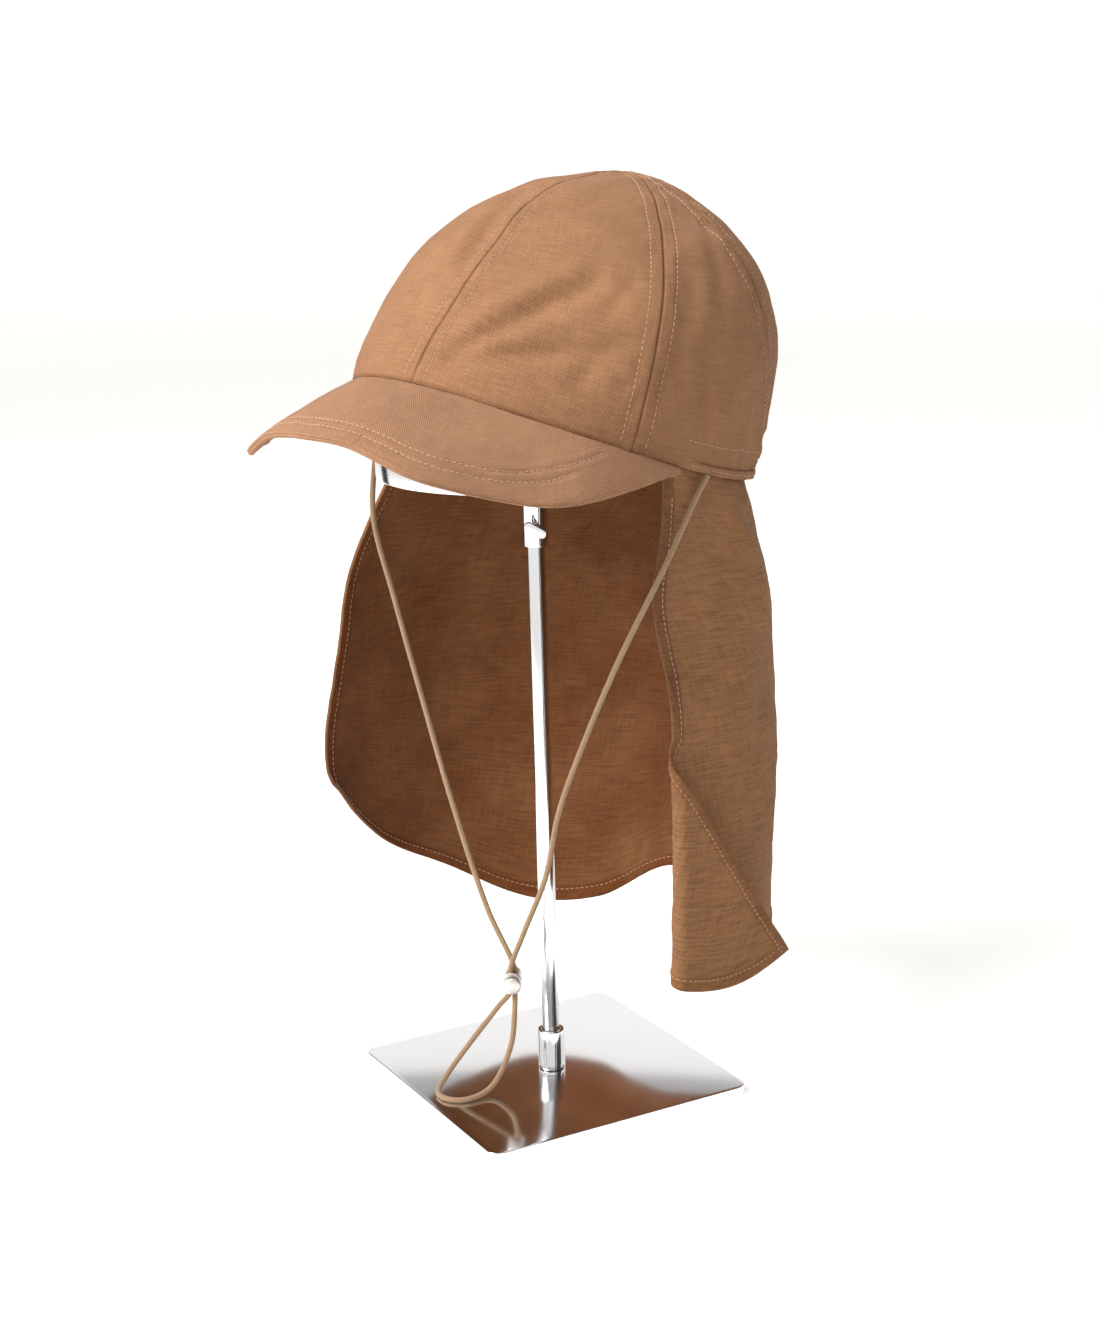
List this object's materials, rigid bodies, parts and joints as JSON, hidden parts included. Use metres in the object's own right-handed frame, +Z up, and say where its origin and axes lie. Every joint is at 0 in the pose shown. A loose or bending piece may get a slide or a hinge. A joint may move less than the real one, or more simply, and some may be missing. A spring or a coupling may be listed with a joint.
{
  "type": "legionnaire cap on a hat stand",
  "caption": "Panelled fabric cap with a curved peak, long hemmed neck flap and chin cord with a metal stopper, displayed on a chrome hat stand with a square base plate.",
  "frame": {"origin": "centre of the base plate's underside, below the post", "axes": "+Z up along the post, the cap faces -Y, the wearer's left is +X"},
  "size_m": [0.245, 0.2808, 0.4637],
  "materials": {
    "cap_cloth": "matt woven cotton",
    "binding_cloth": "matt woven cotton",
    "peak_cloth": "matt twill",
    "flap_cloth": "matt slubbed cotton",
    "cord": "braided cord",
    "nickel": "polished nickel",
    "chrome": "mirror chrome"
  },
  "bodies": {
    "root": {"crown": "cap_cloth", "rim_binding": "binding_cloth", "brim": "peak_cloth", "neck_flap": "flap_cloth", "chin_cord": "cord", "stopper_barrel": "nickel", "base_plate": "chrome", "base_collar": "chrome", "post": "chrome", "sleeve": "chrome", "clamp_screw": "chrome", "head_frame": "chrome"},
    "plunger": {"stopper_plunger": "nickel"}
  },
  "joints": [
    {"name": "stopper_press", "type": "slide", "parent": "root", "child": "plunger", "axis": [-0.6691, 0.7431, 0], "range_m": [0, 0.0025], "stiffness_N_per_m": 400, "springref_m": -0.001}
  ]
}
